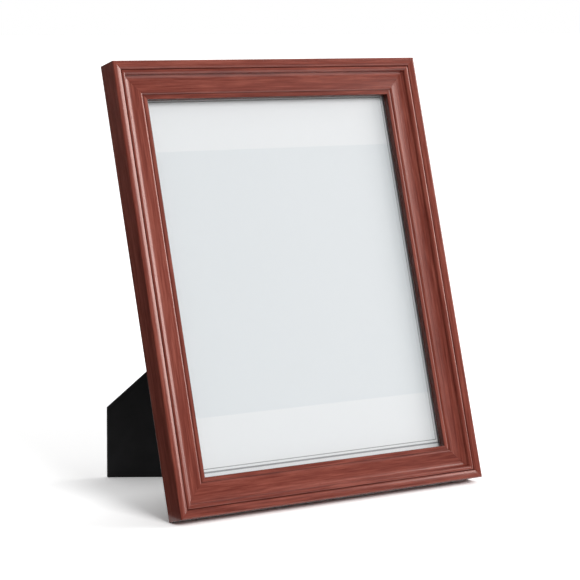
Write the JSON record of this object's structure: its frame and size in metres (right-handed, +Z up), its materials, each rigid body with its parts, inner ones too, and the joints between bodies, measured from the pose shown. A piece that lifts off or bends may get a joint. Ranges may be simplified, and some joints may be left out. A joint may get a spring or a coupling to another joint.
{
  "type": "picture frame",
  "caption": "Wooden picture frame of mitred beaded moulding, with glass, paper sheet and a backing board held by turn buttons, standing on a folding diagonal back strut.",
  "frame": {"origin": "on the table, under the middle of the whole object with its strut open", "axes": "+Z up, -Y towards the viewer in front of the picture, +X to the right as seen from the front"},
  "size_m": [0.242, 0.1576, 0.2853],
  "materials": {
    "stained_wood": "mahogany stain under satin lacquer",
    "glazing": "clear polished float glass",
    "paper": "smooth white paper with a plain printed border",
    "black_board": "fibreboard faced with matte black paper",
    "zinc_steel": "bright zinc plate",
    "brass_plate": "brass-plated pressed steel"
  },
  "bodies": {
    "frame": {"rail_top": "stained_wood", "rail_bottom": "stained_wood", "rail_left": "stained_wood", "rail_right": "stained_wood", "corner_nail_bottom_left_1": "zinc_steel", "corner_nail_bottom_left_2": "zinc_steel", "corner_nail_bottom_right_1": "zinc_steel", "corner_nail_bottom_right_2": "zinc_steel", "corner_nail_top_right_1": "zinc_steel", "corner_nail_top_right_2": "zinc_steel", "corner_nail_top_left_1": "zinc_steel", "corner_nail_top_left_2": "zinc_steel", "glass_pane": "glazing", "print_sheet": "paper", "backing_board": "black_board", "turn_screw_bottom": "zinc_steel", "turn_screw_right_lower": "zinc_steel", "turn_screw_right_upper": "zinc_steel", "turn_screw_top": "zinc_steel", "turn_screw_left_upper": "zinc_steel", "turn_screw_left_lower": "zinc_steel", "hinge_board_leaf": "brass_plate", "hinge_pin": "zinc_steel", "board_rivet_upper": "zinc_steel", "board_rivet_lower": "zinc_steel"},
    "strut": {"strut_leg": "black_board", "hinge_strut_leaf": "brass_plate", "strut_rivet_upper": "zinc_steel", "strut_rivet_lower": "zinc_steel"},
    "button_bottom": {"turn_button_bottom": "brass_plate"},
    "button_right_lower": {"turn_button_right_lower": "brass_plate"},
    "button_right_upper": {"turn_button_right_upper": "brass_plate"},
    "button_top": {"turn_button_top": "brass_plate"},
    "button_left_upper": {"turn_button_left_upper": "brass_plate"},
    "button_left_lower": {"turn_button_left_lower": "brass_plate"}
  },
  "joints": [
    {"name": "strut_hinge", "type": "hinge", "parent": "frame", "child": "strut", "pos_m": [0.0127, -0.02335, 0.12769], "axis": [-0.7071, 0.1988, 0.6786], "range_deg": [0, 45]},
    {"name": "button_bottom_turn", "type": "hinge", "parent": "frame", "child": "button_bottom", "pos_m": [0, -0.05808, 0.0123], "axis": [0, 0.9597, -0.2811], "continuous": true},
    {"name": "button_right_lower_turn", "type": "hinge", "parent": "frame", "child": "button_right_lower", "pos_m": [0.1078, -0.0361, 0.08735], "axis": [0, 0.9597, -0.2811], "continuous": true},
    {"name": "button_right_upper_turn", "type": "hinge", "parent": "frame", "child": "button_right_upper", "pos_m": [0.1078, -0.00518, 0.19291], "axis": [0, 0.9597, -0.2811], "continuous": true},
    {"name": "button_top_turn", "type": "hinge", "parent": "frame", "child": "button_top", "pos_m": [0, 0.0168, 0.26796], "axis": [0, 0.9597, -0.2811], "continuous": true},
    {"name": "button_left_upper_turn", "type": "hinge", "parent": "frame", "child": "button_left_upper", "pos_m": [-0.1078, -0.00518, 0.19291], "axis": [0, 0.9597, -0.2811], "continuous": true},
    {"name": "button_left_lower_turn", "type": "hinge", "parent": "frame", "child": "button_left_lower", "pos_m": [-0.1078, -0.0361, 0.08735], "axis": [0, 0.9597, -0.2811], "continuous": true}
  ]
}
